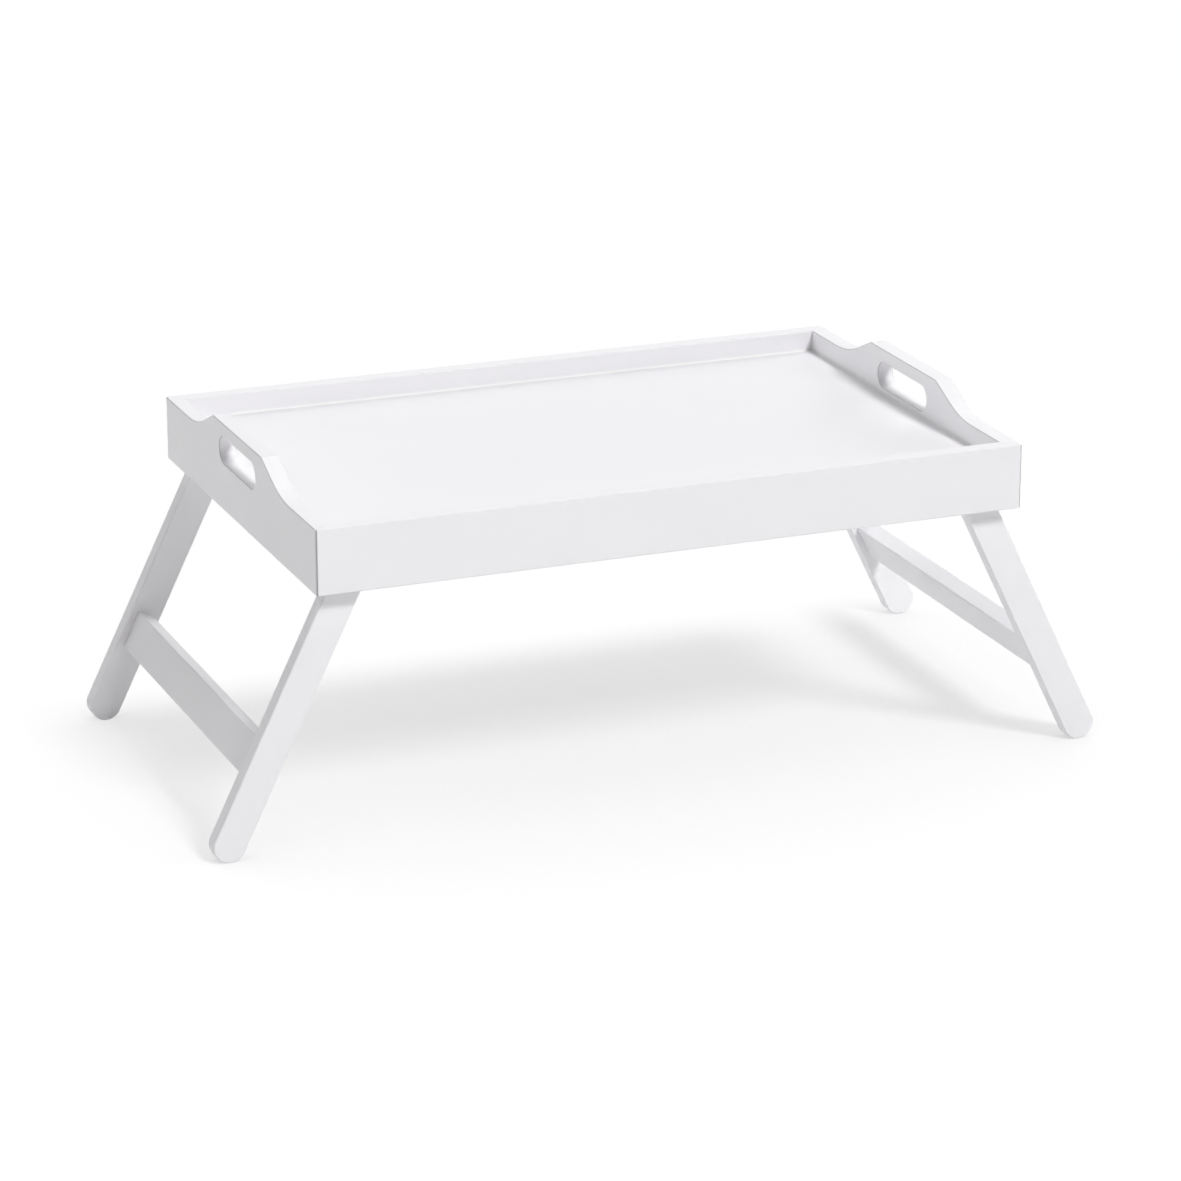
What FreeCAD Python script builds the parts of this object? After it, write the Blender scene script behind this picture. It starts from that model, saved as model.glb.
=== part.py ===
"""Bed tray table with two folding leg frames.

A shallow mitred box of 12 mm board carries a thin floor let into grooves. Its two short sides rise
in handles with a swept outline and a rounded hand slot. A leg frame turns on two screws under each
end: it stands splayed against the inside lower edge of the end board and folds flat under the floor.

Row frame: +X along the long side, +Y to the rear, +Z up, origin on the ground under the middle of
the tray. Lengths are millimetres, angles degrees.
"""

import FreeCAD, Part
import math
import os
import Sketcher

# ---------------------------------------------------------------- driving sizes
SIZES = [
    # the tray
    ("tray_length", 500, "outside length, along X"),
    ("tray_width", 325, "outside width, along Y"),
    ("rim_height", 223, "top of the rim above the ground"),
    ("board_height", 44.5, "height of the side boards"),
    ("board_thick", 12, "thickness of the side boards"),
    ("corner_round", 2, "radius of the tray's upright corners"),
    ("edge_ease", 0.6, "small bevel that sanding leaves on the edges"),
    # the handles
    ("handle_rise", 17, "top of the handle above the rim"),
    ("handle_flat", 103, "straight length on top of the handle"),
    ("handle_corner", 4, "radius at each end of that straight"),
    ("handle_slope", 24, "slope of the shoulder below it"),
    ("handle_sweep", 85, "radius of the sweep that runs the shoulder into the rim"),
    ("slot_length", 78, "hand slot, end to end"),
    ("slot_height", 18.5, "hand slot, bottom to top"),
    ("slot_drop", 1.8, "centre of the slot below the rim"),
    # the floor
    ("floor_drop", 14.5, "top of the floor below the rim"),
    ("floor_thick", 5, "thickness of the floor"),
    ("tongue_thick", 3, "thickness of the tongue left by the rebate"),
    ("groove_depth", 5, "depth of the groove that takes the tongue"),
    ("tongue_play", 0.5, "room left behind the tongue"),
    # the loose tongues that lock the mitres
    ("spline_thick", 3, "thickness"),
    ("spline_width", 8, "width across the mitre"),
    ("spline_height", 19, "height"),
    ("spline_inset", 3, "lower end above the bottom of the boards"),
    # the leg frames
    ("leg_width", 22, "width of the leg, and diameter of its round ends"),
    ("leg_thick", 12, "thickness of the leg"),
    ("splay", 26, "lean of the open leg from upright"),
    ("pivot_drop", 31.5, "pivot below the rim"),
    ("stop_gap", 0.3, "room between the open leg and the edge that stops it"),
    ("rail_reach", 143.5, "middle of the stretcher from the pivot, along the leg"),
    ("rail_width", 27, "width of the stretcher, along the leg"),
    ("rail_thick", 12, "thickness of the stretcher"),
    ("dowel_size", 6, "diameter of the dowels"),
    ("dowel_in_leg", 8, "length of a dowel in the leg"),
    ("dowel_in_rail", 20, "length of a dowel in the stretcher"),
    ("dowel_pitch", 13, "spacing of the two dowels at each end"),
    # the pivots
    ("screw_size", 5, "diameter of the screw's shank and thread"),
    ("screw_bite", 8.5, "length of the thread in the board"),
    ("screw_tip", 2, "length of the taper at the end of the thread"),
    ("pilot_depth", 9, "depth of the screw's hole in the board"),
    ("head_size", 10, "diameter of the screw's head"),
    ("head_height", 3, "height of the screw's head"),
    ("head_bevel", 1.2, "bevel round the top of the head"),
    ("pivot_fit", 0.05, "radial running clearance of the leg on the shank"),
    ("washer_fit", 0.2, "radial clearance of the washers on the shank"),
    ("washer_thick", 1, "thickness of both washers"),
    ("spacer_size", 16, "diameter of the washer between leg and board"),
    ("washer_size", 14, "diameter of the washer under the head"),
    ("side_play", 0.15, "room between each face of the leg and its washer"),
]
OVERCUT = 1  # how far a cutter runs past the wood that it removes
NEAR = 0.001  # two places closer than this are the same

# ---------------------------------------------------------------- places that pieces share
BOARD_BOTTOM = "(Sizes.rim_height - Sizes.board_height)"
INNER_LENGTH = "(Sizes.tray_length - 2 * Sizes.board_thick)"
INNER_WIDTH = "(Sizes.tray_width - 2 * Sizes.board_thick)"
TONGUE_REACH = "(Sizes.groove_depth - Sizes.tongue_play)"
# heights above the bottom of the boards
GROOVE_RISE = "(Sizes.board_height - Sizes.floor_drop - Sizes.floor_thick)"
PIVOT_RISE = "(Sizes.board_height - Sizes.pivot_drop)"
SLOT_RISE = "(Sizes.board_height - Sizes.slot_drop)"
# The pivots: the outer edge of the open leg stands stop_gap off the bevelled inside edge of the
# end board, and the round foot touches the ground.
PIVOT_Z = "(Sizes.rim_height - Sizes.pivot_drop)"
PIVOT_X = (
    f"(Sizes.tray_length / 2 - Sizes.board_thick - ({PIVOT_RISE} - Sizes.edge_ease) * tan(Sizes.splay)"
    " - (Sizes.stop_gap + Sizes.leg_width / 2) / cos(Sizes.splay))"
)
LEG_SPAN = f"(({PIVOT_Z} - Sizes.leg_width / 2) / cos(Sizes.splay))"
# distances along a pivot, from the inside face of the long board towards the middle of the tray
LEG_START = "(Sizes.washer_thick + Sizes.side_play)"
LEG_END = f"({LEG_START} + Sizes.leg_thick)"
WASHER_START = f"({LEG_END} + Sizes.side_play)"
HEAD_START = f"({WASHER_START} + Sizes.washer_thick)"
# the stretcher, between the inside faces of its two legs
RAIL_LENGTH = f"({INNER_WIDTH} - 2 * {LEG_END})"
RAIL_X = f"({PIVOT_X} + Sizes.rail_reach * sin(Sizes.splay))"
RAIL_Z = f"({PIVOT_Z} - Sizes.rail_reach * cos(Sizes.splay))"

doc = FreeCAD.newDocument("bed_tray_table")
sheet = doc.addObject("Spreadsheet::Sheet", "Sizes")
nodes = []


def fill_sheet():
    """Write the driving sizes into the spreadsheet that every feature reads."""
    for row, (name, size, note) in enumerate(SIZES, 1):
        sheet.set(f"A{row}", name)
        sheet.set(f"B{row}", str(size))
        sheet.setAlias(f"B{row}", name)
        sheet.set(f"C{row}", note)
    doc.recompute()


def number(text):
    """Work a formula out as a plain number."""
    result = sheet.evalExpression(text)
    return float(getattr(result, "Value", result))


# ---------------------------------------------------------------- bodies and sketches
def put(piece, name, x="0", y="0", z="0", yaw="0", pitch="0"):
    """Name a sub-part and tie its place in the tray table to the sheet."""
    piece.Label = name
    piece.setExpression(
        "Placement", f"placement(vector({x}; {y}; {z}); rotation({yaw}; {pitch}; 0))"
    )
    nodes.append(piece)
    return piece


def new_body(name, **place):
    """Start a sub-part that is made feature by feature."""
    return put(doc.addObject("PartDesign::Body", name), name, **place)


def plane(body, role):
    """Find one of the body's own origin planes."""
    return [item for item in body.Origin.OriginFeatures if item.Role == role][0]


def new_sketch(body, name, role, x="0", y="0", lift="0", turn=0):
    """Lay a sketch on an origin plane, or lift, shift and turn it from there."""
    sketch = body.newObject("Sketcher::SketchObject", f"{body.Name}_{name}")
    sketch.AttachmentSupport = [(plane(body, role), "")]
    sketch.MapMode = "FlatFace"
    upright = FreeCAD.Vector(0, 0, 1)
    sketch.AttachmentOffset = FreeCAD.Placement(
        FreeCAD.Vector(), FreeCAD.Rotation(upright, turn)
    )
    for axis, text in (("x", x), ("y", y), ("z", lift)):
        if text != "0":
            sketch.setExpression(f"AttachmentOffset.Base.{axis}", text)
    return sketch


def rule(sketch, name, kind, text, *where):
    """Add a driving dimension that follows a formula."""
    start = number(text)
    if kind == "Angle":
        start = math.radians(start)
    index = sketch.addConstraint(Sketcher.Constraint(kind, *where, start))
    sketch.renameConstraint(index, name)
    sketch.setExpression(f"Constraints.{name}", text)


def fix_point(sketch, name, item, point, x, y):
    """Hold a point of the sketch at two formulas, measured from the sketch's origin."""
    for kind, axis, text in (("DistanceX", -2, x), ("DistanceY", -1, y)):
        if text == "0":
            sketch.addConstraint(Sketcher.Constraint("PointOnObject", item, point, axis))
        else:
            rule(sketch, f"{name}_{kind[-1].lower()}", kind, text, -1, 1, item, point)


def tie(sketch, kind, pairs):
    """Join ends of lines and arcs: each pair is (item, end, item, end)."""
    for pair in pairs:
        sketch.addConstraint(Sketcher.Constraint(kind, *pair))


def line(sketch, start, end):
    """Draw a line between two points and return its number."""
    ends = [FreeCAD.Vector(x, y, 0) for x, y in (start, end)]
    return sketch.addGeometry(Part.LineSegment(*ends), False)


def arc(sketch, centre, radius, first, last):
    """Draw an arc, anticlockwise between two angles, and return its number."""
    circle = Part.Circle(FreeCAD.Vector(*centre, 0), FreeCAD.Vector(0, 0, 1), radius)
    angles = [math.radians(angle) for angle in (first, last)]
    return sketch.addGeometry(Part.ArcOfCircle(circle, *angles), False)


def draw_polygon(sketch, corners):
    """Draw a closed outline of straight lines through corners given as formulas."""
    points = [(number(x), number(y)) for x, y in corners]
    lines = [line(sketch, point, points[n - 1]) for n, point in enumerate(points)]
    tie(sketch, "Coincident", [(lines[n - 1], 1, item, 2) for n, item in enumerate(lines)])
    for item, (x, y) in zip(lines, corners):
        fix_point(sketch, f"corner{item}", item, 1, x, y)


def draw_box(sketch, left, right, low, high):
    """Draw a rectangle between four formulas."""
    draw_polygon(sketch, [(left, low), (right, low), (right, high), (left, high)])


def draw_circle(sketch, name, x, y, radius):
    """Draw a circle from formulas."""
    centre = FreeCAD.Vector(number(x), number(y), 0)
    circle = Part.Circle(centre, FreeCAD.Vector(0, 0, 1), number(radius))
    item = sketch.addGeometry(circle, False)
    fix_point(sketch, name, item, 3, x, y)
    rule(sketch, f"{name}_radius", "Radius", radius, item)


# ---------------------------------------------------------------- features
def pad(body, sketch, length, reverse=False, both=False):
    """Raise a solid from a sketch; reverse turns its side, both splits it evenly."""
    feature = body.newObject("PartDesign::Pad", f"{sketch.Name}_pad")
    feature.Profile = sketch
    feature.setExpression("Length", length)
    feature.Reversed = reverse
    feature.SideType = "Symmetric" if both else "One side"
    doc.recompute()
    return feature


def pocket(body, sketch, depth, reverse=False, both=False):
    """Cut a sketch into the body, and make sure that it took wood away."""
    before = body.Shape.Volume
    feature = body.newObject("PartDesign::Pocket", f"{sketch.Name}_cut")
    feature.Profile = sketch
    feature.setExpression("Length", depth)
    feature.Reversed = reverse
    feature.SideType = "Symmetric" if both else "One side"
    doc.recompute()
    if body.Shape.Volume > before - NEAR:
        raise RuntimeError(f"{feature.Name} cut nothing")
    return feature


def mirror(body, features, role):
    """Repeat features on the other side of an origin plane."""
    before = body.Shape.Volume
    feature = body.newObject("PartDesign::Mirrored", f"{features[0].Name}_mirrored")
    feature.Originals = features
    feature.MirrorPlane = (plane(body, role), [""])
    body.Tip = feature
    doc.recompute()
    if body.Shape.Volume > before - NEAR:
        raise RuntimeError(f"{feature.Name} cut nothing")


def ease(body, wanted):
    """Bevel the edges that wanted() picks from three points along each."""
    base = body.Tip
    names = []
    for index, edge in enumerate(base.Shape.Edges, 1):
        first, last = edge.ParameterRange
        points = [edge.valueAt(first + (last - first) * share) for share in (0, 0.5, 1)]
        if wanted(points):
            names.append(f"Edge{index}")
    feature = body.newObject("PartDesign::Chamfer", f"{body.Name}_eased")
    feature.Base = (base, names)
    feature.setExpression("Size", "Sizes.edge_ease")
    doc.recompute()


def same(values):
    """Tell whether all values agree."""
    return max(values) - min(values) < NEAR


def on_face(points, face):
    """Tell whether an edge lies in the plane y = face."""
    return all(abs(point.y - face) < NEAR for point in points)


# ---------------------------------------------------------------- the four side boards
# A board's own frame: X along its length from the middle, Y from the outside face inwards, Z up
# from its lower edge. Turned by quarter turns, it goes round the tray.
def draw_end_outline(sketch):
    """Draw the end board: a straight lower edge, and a rim that sweeps up to the handle."""
    half = number("Sizes.tray_width / 2")
    rim = number("Sizes.board_height")
    top = rim + number("Sizes.handle_rise")
    flat = number("Sizes.handle_flat / 2")
    small = number("Sizes.handle_corner")
    sweep = number("Sizes.handle_sweep")
    slope = number("Sizes.handle_slope")
    lean = math.radians(slope)
    shoulder_top = (flat + small * math.sin(lean), top - small * (1 - math.cos(lean)))
    shoulder_low = rim + sweep * (1 - math.cos(lean))
    run = (shoulder_top[1] - shoulder_low) / math.tan(lean)
    shoulder_end = (shoulder_top[0] + run, shoulder_low)
    start = shoulder_end[0] + sweep * math.sin(lean)

    bottom = line(sketch, (-half, 0), (half, 0))
    right_end = line(sketch, (half, 0), (half, rim))
    right_rim = line(sketch, (half, rim), (start, rim))
    right_sweep = arc(sketch, (start, rim + sweep), sweep, -90 - slope, -90)
    right_shoulder = line(sketch, shoulder_end, shoulder_top)
    right_corner = arc(sketch, (flat, top - small), small, 90 - slope, 90)
    summit = line(sketch, (flat, top), (-flat, top))
    left_corner = arc(sketch, (-flat, top - small), small, 90, 90 + slope)
    left_foot = (-shoulder_end[0], shoulder_end[1])
    left_shoulder = line(sketch, left_foot, (-shoulder_top[0], shoulder_top[1]))
    left_sweep = arc(sketch, (-start, rim + sweep), sweep, -90, -90 + slope)
    left_rim = line(sketch, (-start, rim), (-half, rim))
    left_end = line(sketch, (-half, rim), (-half, 0))

    tie(sketch, "Coincident", [
        (bottom, 2, right_end, 1), (right_end, 2, right_rim, 1),
        (left_rim, 2, left_end, 1), (left_end, 2, bottom, 1),
    ])
    tie(sketch, "Tangent", [
        (right_rim, 2, right_sweep, 2), (right_sweep, 1, right_shoulder, 1),
        (right_shoulder, 2, right_corner, 1), (right_corner, 2, summit, 1),
        (summit, 2, left_corner, 1), (left_corner, 2, left_shoulder, 2),
        (left_shoulder, 1, left_sweep, 2), (left_sweep, 1, left_rim, 1),
    ])
    tie(sketch, "Horizontal", [(right_rim,), (left_rim,)])
    tie(sketch, "Vertical", [(right_end,), (left_end,)])
    tie(sketch, "Equal", [(right_sweep, left_sweep), (right_corner, left_corner)])
    tie(sketch, "PointOnObject", [(bottom, 1, -1)])
    tie(sketch, "Symmetric", [
        (bottom, 1, bottom, 2, -2), (summit, 1, summit, 2, -2), (right_rim, 2, left_rim, 1, -2),
    ])
    rule(sketch, "length", "DistanceX", "Sizes.tray_width", bottom, 1, bottom, 2)
    rule(sketch, "height", "DistanceY", "Sizes.board_height", right_end, 1, right_end, 2)
    rule(sketch, "rise", "DistanceY", "Sizes.handle_rise", right_rim, 2, summit, 1)
    rule(sketch, "flat", "DistanceX", "Sizes.handle_flat", summit, 2, summit, 1)
    rule(sketch, "corner", "Radius", "Sizes.handle_corner", right_corner)
    rule(sketch, "sweep", "Radius", "Sizes.handle_sweep", right_sweep)
    rule(sketch, "slope", "Angle", "Sizes.handle_slope", left_shoulder)


def draw_hand_slot(sketch):
    """Draw the hand slot: two half circles joined by straights."""
    radius = number("Sizes.slot_height / 2")
    reach = number("Sizes.slot_length / 2") - radius
    height = number(SLOT_RISE)
    right = arc(sketch, (reach, height), radius, -90, 90)
    top = line(sketch, (reach, height + radius), (-reach, height + radius))
    left = arc(sketch, (-reach, height), radius, 90, 270)
    low = line(sketch, (-reach, height - radius), (reach, height - radius))
    tie(sketch, "Tangent", [
        (right, 2, top, 1), (top, 2, left, 1), (left, 2, low, 1), (low, 2, right, 1),
    ])
    tie(sketch, "Horizontal", [(top,)])
    tie(sketch, "Symmetric", [(left, 3, right, 3, -2)])
    rule(sketch, "radius", "Radius", "Sizes.slot_height / 2", right)
    rule(sketch, "span", "DistanceX", "Sizes.slot_length - Sizes.slot_height", left, 3, right, 3)
    rule(sketch, "height", "DistanceY", SLOT_RISE, -1, 1, right, 3)


def draw_mitre(sketch, length):
    """Draw the waste beyond the right-hand mitre, with the rounded upright corner left on."""
    radius = number("Sizes.corner_round")
    end = number(f"{length} / 2")
    thick = number("Sizes.board_thick")
    middle = (end - radius, radius)
    tip = (middle[0] + radius / math.sqrt(2), middle[1] - radius / math.sqrt(2))
    inner = (end - thick - OVERCUT, thick + OVERCUT)
    outer = (end + OVERCUT, -OVERCUT)

    mitre = line(sketch, inner, tip)
    corner = arc(sketch, middle, radius, -90, -45)
    drop = line(sketch, (middle[0], 0), (middle[0], outer[1]))
    front = line(sketch, (middle[0], outer[1]), outer)
    side = line(sketch, outer, (outer[0], inner[1]))
    back = line(sketch, (outer[0], inner[1]), inner)
    tie(sketch, "Coincident", [
        (mitre, 2, corner, 2), (corner, 1, drop, 1), (drop, 2, front, 1),
        (front, 2, side, 1), (side, 2, back, 1), (back, 2, mitre, 1),
    ])
    tie(sketch, "Vertical", [(drop,), (side,), (corner, 3, corner, 1)])
    tie(sketch, "Horizontal", [(front,), (back,)])
    tie(sketch, "PointOnObject", [(corner, 3, mitre)])
    fix_point(sketch, "centre", corner, 3, f"{length} / 2 - Sizes.corner_round", "Sizes.corner_round")
    rule(sketch, "radius", "Radius", "Sizes.corner_round", corner)
    rule(sketch, "mitre", "Angle", "-45", mitre)
    fix_point(sketch, "outer", side, 1, f"{length} / 2 + {OVERCUT}", f"-{OVERCUT}")
    rule(sketch, "depth", "DistanceY", f"Sizes.board_thick + {OVERCUT}", -1, 1, back, 2)


def make_board(name, length, is_end, **place):
    """Make a side board: cut to its outline, mitred, eased, then grooved and drilled."""
    body = new_body(name, z=BOARD_BOTTOM, **place)
    outline = new_sketch(body, "outline", "XZ_Plane")
    if is_end:
        draw_end_outline(outline)
    else:
        draw_box(outline, f"-{length} / 2", f"{length} / 2", "0", "Sizes.board_height")
    pad(body, outline, "Sizes.board_thick", reverse=True)
    if is_end:
        slot = new_sketch(body, "hand_slot", "XZ_Plane")
        draw_hand_slot(slot)
        pocket(body, slot, f"Sizes.board_thick + {OVERCUT}")
    mitre = new_sketch(body, "mitre", "XY_Plane")
    draw_mitre(mitre, length)
    height = f"Sizes.board_height + Sizes.handle_rise + {OVERCUT}"
    mirror(body, [pocket(body, mitre, height, reverse=True)], "YZ_Plane")

    half = number(f"{length} / 2")
    thick = number("Sizes.board_thick")
    radius = number("Sizes.corner_round")

    def on_corner(point):
        reach = math.hypot(abs(point.x) - half + radius, point.y - radius)
        return abs(reach - radius) < NEAR

    def on_outline(points):
        upright = same([point.x for point in points]) and same([point.y for point in points])
        on_mitre = same([abs(point.x) + point.y for point in points] + [half])
        skin = on_face(points, 0) or on_face(points, thick) or all(map(on_corner, points))
        return skin and not upright and not on_mitre

    ease(body, on_outline)

    groove = new_sketch(body, "groove", "YZ_Plane")
    draw_box(
        groove,
        "Sizes.board_thick - Sizes.groove_depth",
        f"Sizes.board_thick + {OVERCUT}",
        GROOVE_RISE,
        f"{GROOVE_RISE} + Sizes.tongue_thick",
    )
    pocket(body, groove, length, both=True)

    seat = new_sketch(
        body, "spline_seat", "XY_Plane",
        x=f"({length} - Sizes.board_thick) / 2", y="Sizes.board_thick / 2",
        lift="Sizes.spline_inset", turn=45,
    )
    draw_box(
        seat, "-Sizes.spline_width / 2", f"{OVERCUT}",
        "-Sizes.spline_thick / 2", "Sizes.spline_thick / 2",
    )
    mirror(body, [pocket(body, seat, "Sizes.spline_height", reverse=True)], "YZ_Plane")

    if not is_end:
        pilots = new_sketch(body, "pilots", "XZ_Plane", lift="-Sizes.board_thick")
        draw_circle(pilots, "right", PIVOT_X, PIVOT_RISE, "Sizes.screw_size / 2")
        draw_circle(pilots, "left", f"-{PIVOT_X}", PIVOT_RISE, "Sizes.screw_size / 2")
        pocket(body, pilots, "Sizes.pilot_depth", reverse=True)


def make_spline(name, x, y, yaw):
    """Make the loose tongue that is glued across one mitre."""
    body = new_body(name, x=x, y=y, z=f"{BOARD_BOTTOM} + Sizes.spline_inset", yaw=yaw)
    section = new_sketch(body, "section", "XY_Plane")
    draw_box(
        section, "-Sizes.spline_width / 2", "Sizes.spline_width / 2",
        "-Sizes.spline_thick / 2", "Sizes.spline_thick / 2",
    )
    pad(body, section, "Sizes.spline_height")


# ---------------------------------------------------------------- the floor
def make_floor():
    """Make the floor: a thin board whose edge is rebated from above to leave a tongue."""
    body = new_body("tray_floor", z=f"{BOARD_BOTTOM} + {GROOVE_RISE}")
    tongue = new_sketch(body, "tongue", "XY_Plane")
    length = f"({INNER_LENGTH} / 2 + {TONGUE_REACH})"
    width = f"({INNER_WIDTH} / 2 + {TONGUE_REACH})"
    draw_box(tongue, f"-{length}", length, f"-{width}", width)
    pad(body, tongue, "Sizes.tongue_thick")
    top = new_sketch(body, "top", "XY_Plane", lift="Sizes.tongue_thick")
    draw_box(
        top, f"-{INNER_LENGTH} / 2", f"{INNER_LENGTH} / 2",
        f"-{INNER_WIDTH} / 2", f"{INNER_WIDTH} / 2",
    )
    pad(body, top, "Sizes.floor_thick - Sizes.tongue_thick")


# ---------------------------------------------------------------- the leg frames
# A leg's own frame: the pivot at the origin, the leg hanging along -Z, its outside face at y = 0
# and its inside face, which takes the stretcher, towards +Y. All four legs are the same piece.
def draw_leg(sketch):
    """Draw the leg: two half circles joined by long straights."""
    radius = number("Sizes.leg_width / 2")
    span = number(LEG_SPAN)
    head = arc(sketch, (0, 0), radius, 0, 180)
    left = line(sketch, (-radius, 0), (-radius, -span))
    foot = arc(sketch, (0, -span), radius, 180, 360)
    right = line(sketch, (radius, -span), (radius, 0))
    tie(sketch, "Tangent", [
        (head, 2, left, 1), (left, 2, foot, 1), (foot, 2, right, 1), (right, 2, head, 1),
    ])
    tie(sketch, "Equal", [(head, foot)])
    fix_point(sketch, "pivot", head, 3, "0", "0")
    fix_point(sketch, "foot", foot, 3, "0", f"-{LEG_SPAN}")
    rule(sketch, "radius", "Radius", "Sizes.leg_width / 2", head)


def make_leg(name, **place):
    """Make a leg: outline, eased edges, pivot bore and two blind dowel holes."""
    body = new_body(name, z=PIVOT_Z, **place)
    outline = new_sketch(body, "outline", "XZ_Plane")
    draw_leg(outline)
    pad(body, outline, "Sizes.leg_thick", reverse=True)
    thick = number("Sizes.leg_thick")
    ease(body, lambda points: on_face(points, 0) or on_face(points, thick))
    bore = new_sketch(body, "bore", "XZ_Plane")
    draw_circle(bore, "bore", "0", "0", "Sizes.screw_size / 2 + Sizes.pivot_fit")
    pocket(body, bore, f"Sizes.leg_thick + {OVERCUT}")
    holes = new_sketch(body, "dowel_holes", "XZ_Plane", lift="-Sizes.leg_thick")
    for level, side in (("upper", "-"), ("lower", "+")):
        height = f"-(Sizes.rail_reach {side} Sizes.dowel_pitch / 2)"
        draw_circle(holes, level, "0", height, "Sizes.dowel_size / 2")
    pocket(body, holes, "Sizes.dowel_in_leg", reverse=True)


def make_stretcher(name, **place):
    """Make the flat rail between two legs, drilled at both ends for its dowels."""
    body = new_body(name, z=RAIL_Z, **place)
    section = new_sketch(body, "section", "XZ_Plane")
    draw_box(
        section, "-Sizes.rail_thick / 2", "Sizes.rail_thick / 2",
        "-Sizes.rail_width / 2", "Sizes.rail_width / 2",
    )
    pad(body, section, RAIL_LENGTH, both=True)
    ease(body, lambda points: not same([point.y for point in points]))
    holes = new_sketch(body, "dowel_holes", "XZ_Plane", lift=f"{RAIL_LENGTH} / 2")
    for level, side in (("upper", ""), ("lower", "-")):
        draw_circle(holes, level, "0", f"{side}Sizes.dowel_pitch / 2", "Sizes.dowel_size / 2")
    mirror(body, [pocket(body, holes, "Sizes.dowel_in_rail")], "XZ_Plane")


def make_dowels(name, **place):
    """Make the four dowels of a leg frame, which lie along Y, two at each end of the rail."""
    dowels = []
    starts = (
        ("front", f"-({RAIL_LENGTH} / 2 + Sizes.dowel_in_leg)"),
        ("rear", f"{RAIL_LENGTH} / 2 - Sizes.dowel_in_rail"),
    )
    for end, start in starts:
        for level, side in (("upper", ""), ("lower", "-")):
            dowel = doc.addObject("Part::Cylinder", f"{name}_{end}_{level}")
            dowel.setExpression("Radius", "Sizes.dowel_size / 2")
            dowel.setExpression("Height", "Sizes.dowel_in_leg + Sizes.dowel_in_rail")
            dowel.setExpression(
                "Placement",
                f"placement(vector(0; {start}; {side}Sizes.dowel_pitch / 2); rotation(0; 0; -90))",
            )
            dowels.append(dowel)
    group = doc.addObject("Part::Compound", name)
    group.Links = dowels
    put(group, name, z=RAIL_Z, **place)


# ---------------------------------------------------------------- the pivots
# A pivot's own frame: the screw's axis along Y, the inside face of the long board at y = 0 and
# the middle of the tray towards +Y.
def make_screw(name, **place):
    """Turn a shouldered screw: tapered thread, plain shank and a pan head."""
    body = new_body(name, z=PIVOT_Z, **place)
    profile = new_sketch(body, "profile", "XY_Plane")
    shank = "Sizes.screw_size / 2"
    draw_polygon(profile, [
        ("0", "-Sizes.screw_bite"),
        ("Sizes.screw_size / 4", "-Sizes.screw_bite"),
        (shank, "-Sizes.screw_bite + Sizes.screw_tip"),
        (shank, HEAD_START),
        ("Sizes.head_size / 2", HEAD_START),
        ("Sizes.head_size / 2", f"{HEAD_START} + Sizes.head_height - Sizes.head_bevel"),
        ("Sizes.head_size / 2 - Sizes.head_bevel", f"{HEAD_START} + Sizes.head_height"),
        ("0", f"{HEAD_START} + Sizes.head_height"),
    ])
    turned = body.newObject("PartDesign::Revolution", f"{name}_turned")
    turned.Profile = profile
    turned.ReferenceAxis = (profile, ["V_Axis"])
    turned.Angle = 360


def make_washer(name, size, **place):
    """Make a flat ring that sits loosely on the shank."""
    body = new_body(name, z=PIVOT_Z, **place)
    ring = new_sketch(body, "ring", "XZ_Plane")
    draw_circle(ring, "rim", "0", "0", f"{size} / 2")
    draw_circle(ring, "bore", "0", "0", "Sizes.screw_size / 2 + Sizes.washer_fit")
    pad(body, ring, "Sizes.washer_thick", reverse=True)


# ---------------------------------------------------------------- the whole tray table
def make_tray():
    """Set the four boards round the floor and lock their mitres."""
    long_side = "Sizes.tray_length"
    short_side = "Sizes.tray_width"
    make_board("front_long_panel", long_side, False, y=f"-{short_side} / 2", yaw="0")
    make_board("rear_long_panel", long_side, False, y=f"{short_side} / 2", yaw="180")
    make_board("left_end_panel", short_side, True, x=f"-{long_side} / 2", yaw="-90")
    make_board("right_end_panel", short_side, True, x=f"{long_side} / 2", yaw="90")
    make_floor()
    x = f"({long_side} - Sizes.board_thick) / 2"
    y = f"({short_side} - Sizes.board_thick) / 2"
    make_spline("corner_spline_front_left", f"-{x}", f"-{y}", "-45")
    make_spline("corner_spline_front_right", x, f"-{y}", "45")
    make_spline("corner_spline_rear_left", f"-{x}", y, "45")
    make_spline("corner_spline_rear_right", x, y, "-45")


def make_leg_frame(side, sign, lean):
    """Make one leg frame, its dowels and the two pivots that carry it."""
    pivot_x = f"{sign}{PIVOT_X}"
    front = "Sizes.splay" if lean > 0 else "-Sizes.splay"
    rear = "-Sizes.splay" if lean > 0 else "Sizes.splay"
    for end, outward, yaw, pitch in (("front", "-", "0", front), ("rear", "", "180", rear)):
        def along(distance, outward=outward):
            return f"{outward}({INNER_WIDTH} / 2 - {distance})"
        make_leg(f"{side}_{end}_leg", x=pivot_x, y=along(LEG_START), yaw=yaw, pitch=pitch)
        place = {"x": pivot_x, "yaw": yaw}
        corner = f"{side}_{end}"
        make_washer(f"spacer_washer_{corner}", "Sizes.spacer_size", y=along("0"), **place)
        make_washer(f"head_washer_{corner}", "Sizes.washer_size", y=along(WASHER_START), **place)
        make_screw(f"pivot_screw_{corner}", y=along("0"), **place)
    make_stretcher(f"{side}_stretcher", x=f"{sign}{RAIL_X}", pitch=front)
    make_dowels(f"{side}_dowels", x=f"{sign}{RAIL_X}", pitch=front)


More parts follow.
